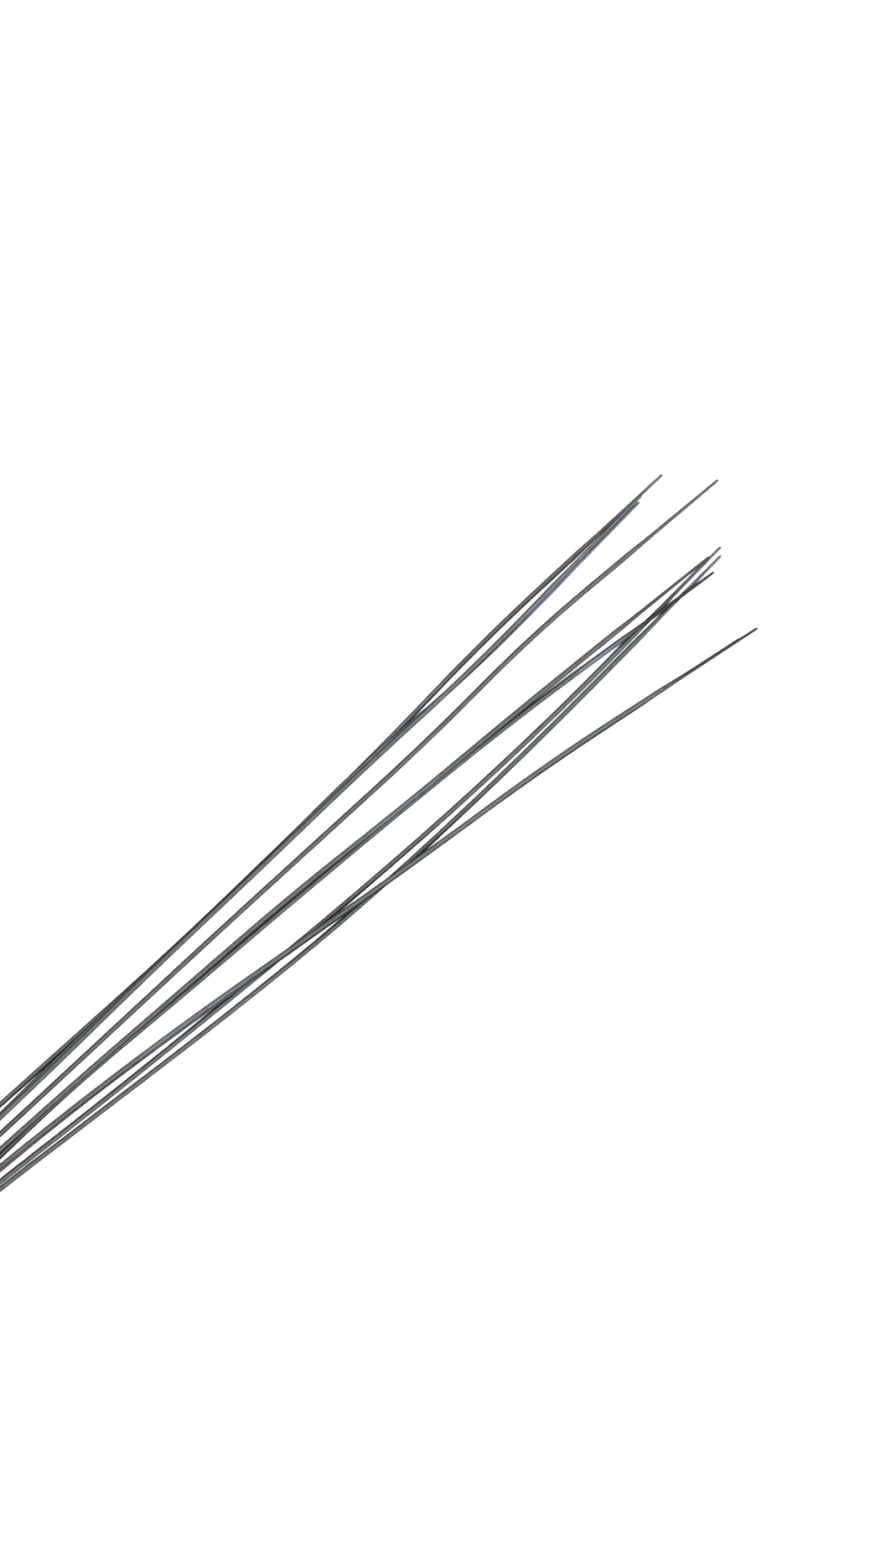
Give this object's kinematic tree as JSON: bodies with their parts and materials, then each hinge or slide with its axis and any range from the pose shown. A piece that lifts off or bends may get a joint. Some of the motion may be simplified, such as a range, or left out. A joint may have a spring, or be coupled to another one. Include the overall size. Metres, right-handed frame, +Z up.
{
  "type": "double pointed needles",
  "caption": "Slender steel knitting needles with a ground point at each end, lying in a loose fan, each free to be drawn out lengthwise.",
  "frame": {"origin": "middle of the whole fan's box, on the surface that the needles lie on", "axes": "+X along the fan towards its spread end, +Y to the left of that, +Z up"},
  "size_m": [0.2453, 0.0343, 0.0032],
  "materials": {
    "drawn_steel": "satin drawn steel, ground points"
  },
  "bodies": {
    "needle_01": {"needle_01": "drawn_steel"},
    "needle_02": {"needle_02": "drawn_steel"},
    "needle_03": {"needle_03": "drawn_steel"},
    "needle_04": {"needle_04": "drawn_steel"},
    "needle_05": {"needle_05": "drawn_steel"},
    "needle_06": {"needle_06": "drawn_steel"},
    "needle_07": {"needle_07": "drawn_steel"},
    "needle_08": {"needle_08": "drawn_steel"},
    "needle_09": {"needle_09": "drawn_steel"},
    "needle_10": {"needle_10": "drawn_steel"}
  },
  "joints": [
    {"name": "draw_01", "type": "slide", "parent": "needle_07", "child": "needle_01", "axis": [0.9973, 0.0732, 0], "range_m": [0, 0.23]},
    {"name": "draw_02", "type": "slide", "parent": "needle_07", "child": "needle_02", "axis": [0.9963, 0.0854, 0], "range_m": [0, 0.23]},
    {"name": "draw_03", "type": "slide", "parent": "needle_07", "child": "needle_03", "axis": [0.9968, 0.0802, 0], "range_m": [0, 0.23]},
    {"name": "draw_04", "type": "slide", "parent": "needle_07", "child": "needle_04", "axis": [0.9981, 0.0611, 0], "range_m": [0, 0.23]},
    {"name": "draw_05", "type": "slide", "parent": "needle_07", "child": "needle_05", "axis": [0.9984, 0.0558, 0.0052], "range_m": [0, 0.23]},
    {"name": "draw_06", "type": "slide", "parent": "needle_07", "child": "needle_06", "axis": [0.9988, 0.0489, 0.0052], "range_m": [0, 0.23]},
    {"name": "draw_08", "type": "slide", "parent": "needle_07", "child": "needle_08", "axis": [0.9976, -0.0698, 0], "range_m": [0, 0.23]},
    {"name": "draw_09", "type": "slide", "parent": "needle_07", "child": "needle_09", "axis": [0.9992, -0.0401, 0], "range_m": [0, 0.23]},
    {"name": "draw_10", "type": "slide", "parent": "needle_07", "child": "needle_10", "axis": [0.9993, -0.0384, 0], "range_m": [0, 0.23]}
  ]
}
